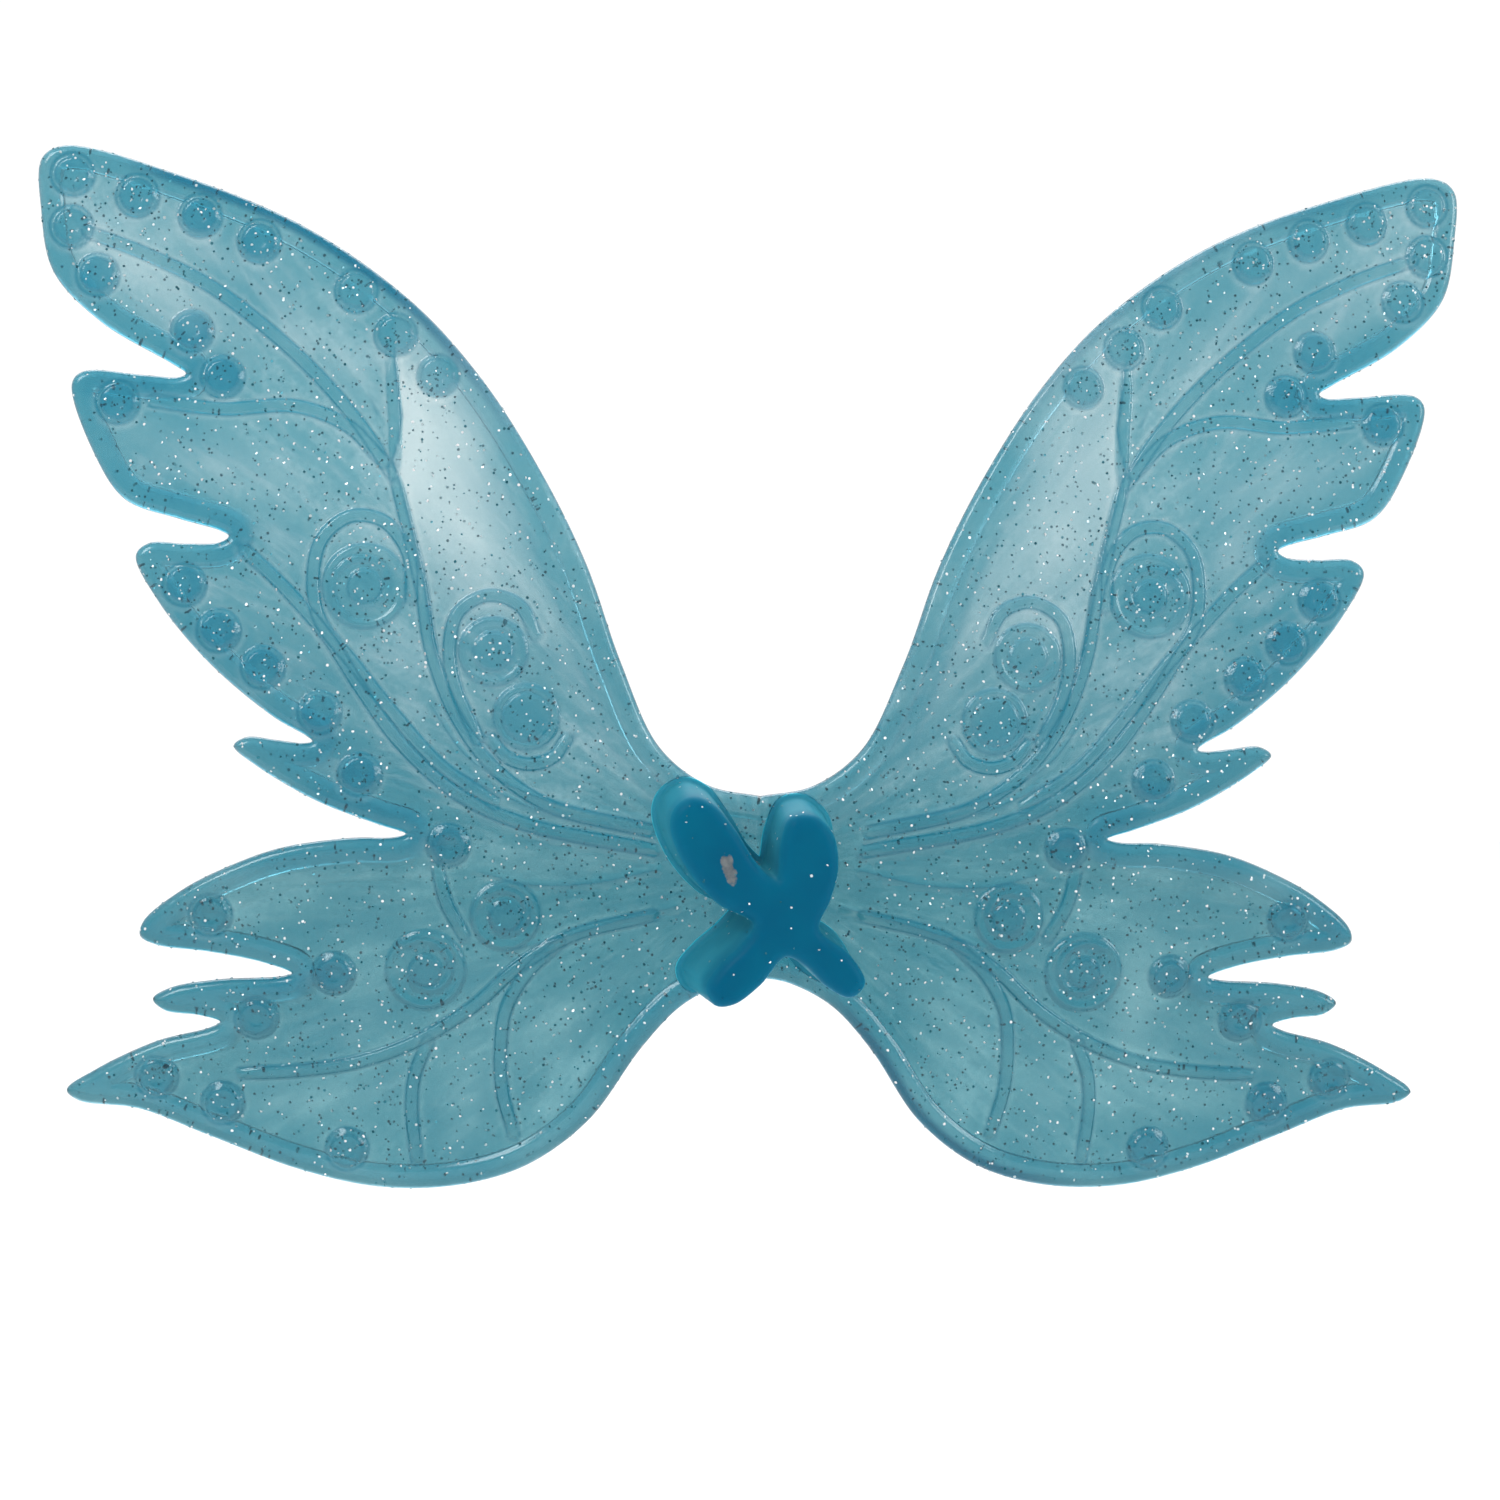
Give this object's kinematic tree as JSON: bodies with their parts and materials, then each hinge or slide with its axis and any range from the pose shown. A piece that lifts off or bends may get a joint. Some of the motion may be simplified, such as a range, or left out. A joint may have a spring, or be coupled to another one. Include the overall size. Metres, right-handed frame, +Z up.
{
  "type": "doll fairy wings",
  "caption": "Soft moulded fairy wings with scalloped feather lobes, raised veins and studs, and a butterfly-shaped plug that presses into a doll's back.",
  "frame": {"origin": "middle plane of the web on the line of symmetry, where the butterfly plug stands", "axes": "+X across the span to the right as seen facing the plug, +Z up as worn, -Y along the plug towards the doll's back"},
  "size_m": [0.1638, 0.0254, 0.1177],
  "materials": {
    "wing_sheet": "soft translucent teal vinyl with fine silver glitter moulded in",
    "wing_plug": "the same tinted vinyl, deep blue where it is thick"
  },
  "bodies": {
    "root": {"centre_web": "wing_sheet", "butterfly_plug": "wing_plug"},
    "left_forewing": {"left_forewing": "wing_sheet"},
    "left_hindwing": {"left_hindwing": "wing_sheet"},
    "right_forewing": {"right_forewing": "wing_sheet"},
    "right_hindwing": {"right_hindwing": "wing_sheet"}
  },
  "joints": [
    {"name": "left_forewing_flex", "type": "hinge", "parent": "root", "child": "left_forewing", "pos_m": [-0.03035, 0, 0.01755], "axis": [-0.7933, 0, -0.6089], "range_deg": [-20, 20], "stiffness_Nm_per_rad": 0.05},
    {"name": "right_forewing_flex", "type": "hinge", "parent": "root", "child": "right_forewing", "pos_m": [0.03035, 0, 0.01755], "axis": [-0.7933, 0, 0.6089], "range_deg": [-20, 20], "stiffness_Nm_per_rad": 0.05},
    {"name": "left_hindwing_flex", "type": "hinge", "parent": "root", "child": "left_hindwing", "pos_m": [-0.0296, 0, -0.00955], "axis": [0.7472, 0, -0.6646], "range_deg": [-20, 20], "stiffness_Nm_per_rad": 0.03},
    {"name": "right_hindwing_flex", "type": "hinge", "parent": "root", "child": "right_hindwing", "pos_m": [0.0296, 0, -0.00955], "axis": [0.7472, 0, 0.6646], "range_deg": [-20, 20], "stiffness_Nm_per_rad": 0.03}
  ]
}
